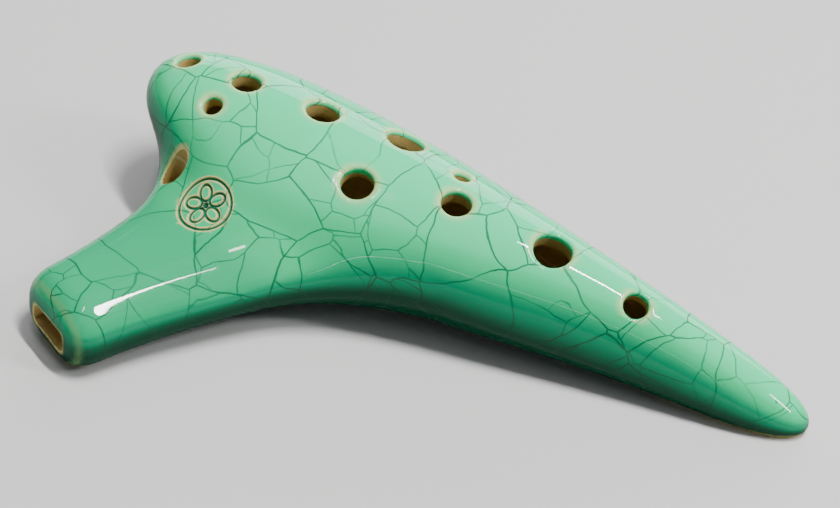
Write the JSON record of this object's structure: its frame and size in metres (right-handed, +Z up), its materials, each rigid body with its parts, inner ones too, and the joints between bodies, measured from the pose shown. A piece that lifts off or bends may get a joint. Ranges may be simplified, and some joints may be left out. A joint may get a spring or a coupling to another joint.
{
  "type": "transverse ocarina",
  "caption": "Glazed ceramic transverse ocarina with a flat beak, finger and thumb holes, a belly window and a hole for a neck cord.",
  "frame": {"origin": "centre of the whole instrument's outline in plan, at the surface that it lies on", "axes": "+X from the blunt head to the tail, -Y the way the beak points, +Z up out of the finger-hole side"},
  "size_m": [0.119, 0.0646, 0.0249],
  "materials": {
    "fired_clay": "matte",
    "slip": "matte",
    "celadon_glaze": "gloss"
  },
  "bodies": {
    "root": {"upper_shell": "fired_clay", "lower_shell": "fired_clay", "chamber_seam": "slip", "beak_top": "fired_clay", "beak_base": "fired_clay", "beak_seam": "slip", "sound_edge": "fired_clay", "glaze_coat": "celadon_glaze"}
  },
  "joints": []
}
